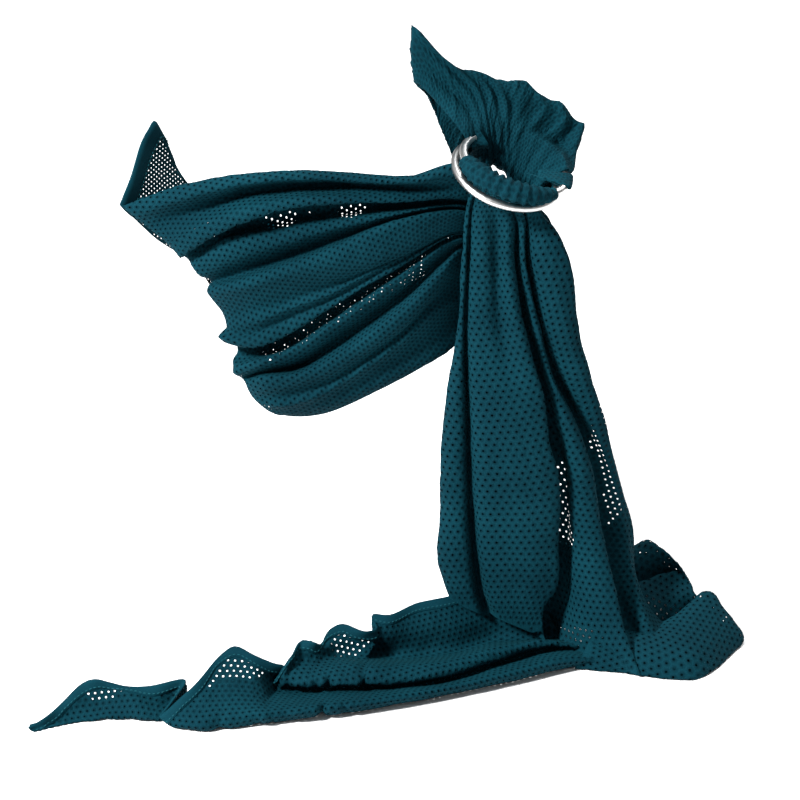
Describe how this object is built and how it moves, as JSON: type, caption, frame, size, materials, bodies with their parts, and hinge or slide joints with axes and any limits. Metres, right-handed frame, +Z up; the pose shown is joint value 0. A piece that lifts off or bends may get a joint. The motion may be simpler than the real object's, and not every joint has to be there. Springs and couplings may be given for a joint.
{
  "type": "baby ring sling",
  "caption": "Open-mesh baby ring sling: a cloth panel drawn through aluminium rings, draped as worn, its long tail trailing on the floor.",
  "frame": {"origin": "on the floor under the middle of the whole draped sling", "axes": "+Z up, -Y towards whoever looks at the sling's front, +X to that viewer's right"},
  "size_m": [0.563, 0.274, 0.492],
  "materials": {
    "mesh_cloth": "dark teal open-mesh polyester knit, soft sheen",
    "hem_cloth": "dark teal folded and stitched hem",
    "seam_thread": "dark teal polyester thread",
    "ring_metal": "satin silver, seamless cast ring"
  },
  "bodies": {
    "sling_cloth": {"ring_casing": "mesh_cloth", "ring_roll": "mesh_cloth", "tail_column": "mesh_cloth", "tail_floor": "mesh_cloth", "tail_floor_flap": "mesh_cloth", "body_front_panel": "mesh_cloth", "body_gather": "mesh_cloth", "body_side_fold": "mesh_cloth", "body_back_panel": "mesh_cloth", "shoulder_back_strip": "mesh_cloth", "shoulder_gather": "mesh_cloth", "front_rail_hem": "hem_cloth", "back_rail_hem": "hem_cloth", "tail_rail_hem": "hem_cloth", "casing_stitching": "seam_thread"},
    "front_ring": {"ring_front": "ring_metal"},
    "back_ring": {"ring_back": "ring_metal"}
  },
  "joints": [
    {"name": "front_ring_swing", "type": "hinge", "parent": "sling_cloth", "child": "front_ring", "pos_m": [0.0934, 0.08832, 0.40084], "axis": [0.9406, -0.1439, -0.3074], "range_deg": [0, 15]},
    {"name": "back_ring_turn", "type": "hinge", "parent": "sling_cloth", "child": "back_ring", "pos_m": [0.09088, 0.04577, 0.40069], "axis": [0.2798, -0.1836, 0.9423], "continuous": true}
  ]
}
